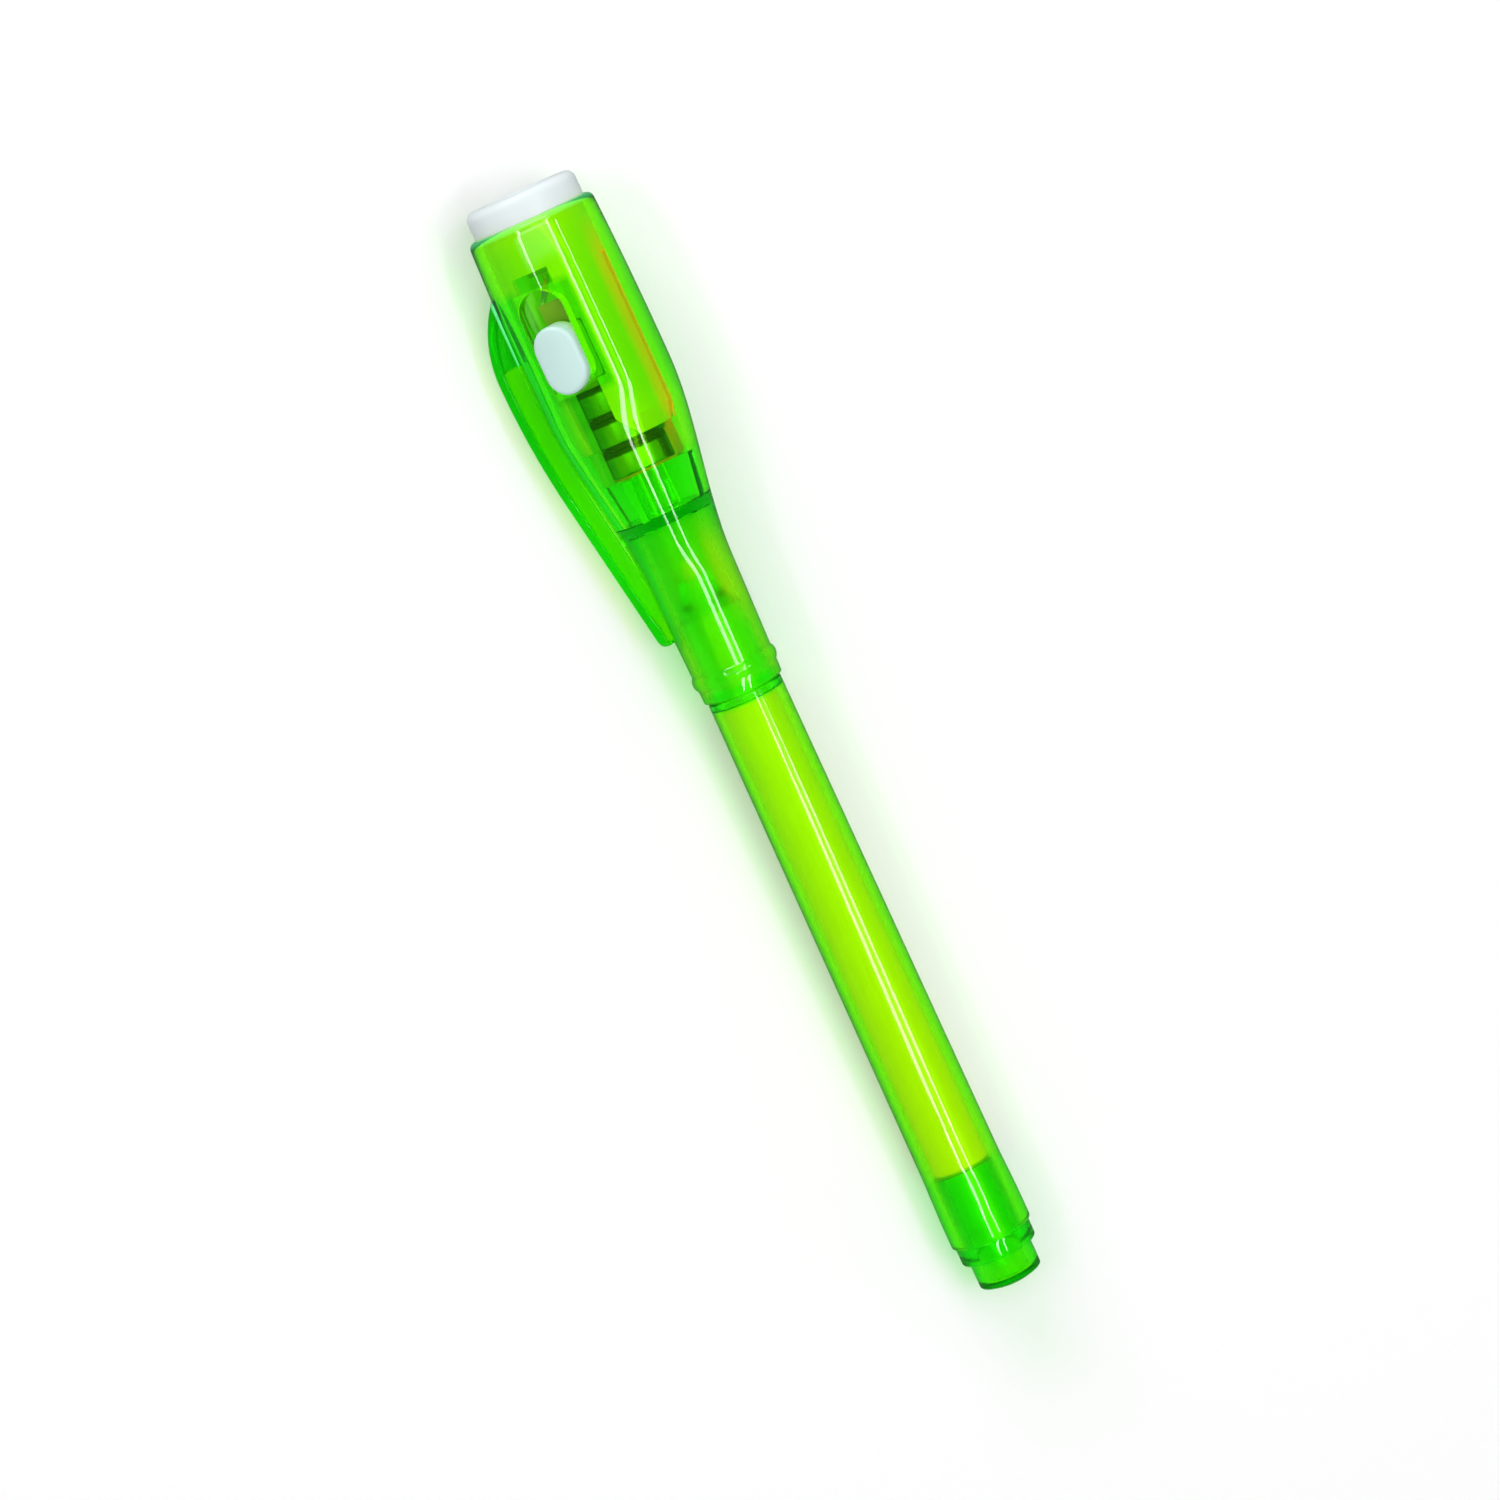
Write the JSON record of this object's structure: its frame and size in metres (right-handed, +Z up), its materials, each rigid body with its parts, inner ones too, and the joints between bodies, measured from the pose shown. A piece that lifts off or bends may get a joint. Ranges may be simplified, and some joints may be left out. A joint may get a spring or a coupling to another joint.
{
  "type": "uv invisible ink pen",
  "caption": "Translucent marker pen for invisible ink: slim barrel with fibre reservoir and nib, and a push-fit cap with pocket clip, push button and ultraviolet lamp.",
  "frame": {"origin": "on the table, under the middle of the lying pen", "axes": "+X along the lying pen towards the light end, +Y to the clip's side, +Z up"},
  "size_m": [0.1351, 0.0182, 0.0161],
  "materials": {
    "green_plastic": "clear tinted gloss",
    "white_plastic": "smooth",
    "fibre": "bonded fibre",
    "nib_fibre": "pressed fibre",
    "clear_film": "clear film",
    "lamp_resin": "clear resin",
    "tinned_wire": "tinned",
    "cell_steel": "nickel plated",
    "gasket": "moulded",
    "spring_brass": "rolled strip"
  },
  "bodies": {
    "pen": {"barrel": "green_plastic", "tail_plug": "green_plastic", "ink_reservoir": "fibre", "reservoir_film": "clear_film", "nib": "nib_fibre"},
    "cap": {"cap_shell": "green_plastic", "light_carrier": "white_plastic", "uv_led": "lamp_resin", "led_anode_lead": "tinned_wire", "led_cathode_lead": "tinned_wire", "switch_leaf": "spring_brass", "bottom_contact": "spring_brass", "cell_can_1": "cell_steel", "cell_gasket_1": "gasket", "cell_cap_1": "cell_steel", "cell_can_2": "cell_steel", "cell_gasket_2": "gasket", "cell_cap_2": "cell_steel", "cell_can_3": "cell_steel", "cell_gasket_3": "gasket", "cell_cap_3": "cell_steel"},
    "button": {"push_button": "white_plastic"}
  },
  "joints": [
    {"name": "cap_pull", "type": "slide", "parent": "pen", "child": "cap", "axis": [0.9996, 0, 0.0284], "range_m": [0, 0.03]},
    {"name": "button_press", "type": "slide", "parent": "cap", "child": "button", "axis": [0.024, -0.5348, -0.8446], "range_m": [0, 0.0007], "stiffness_N_per_m": 600, "deforming": ["switch_leaf"]}
  ]
}
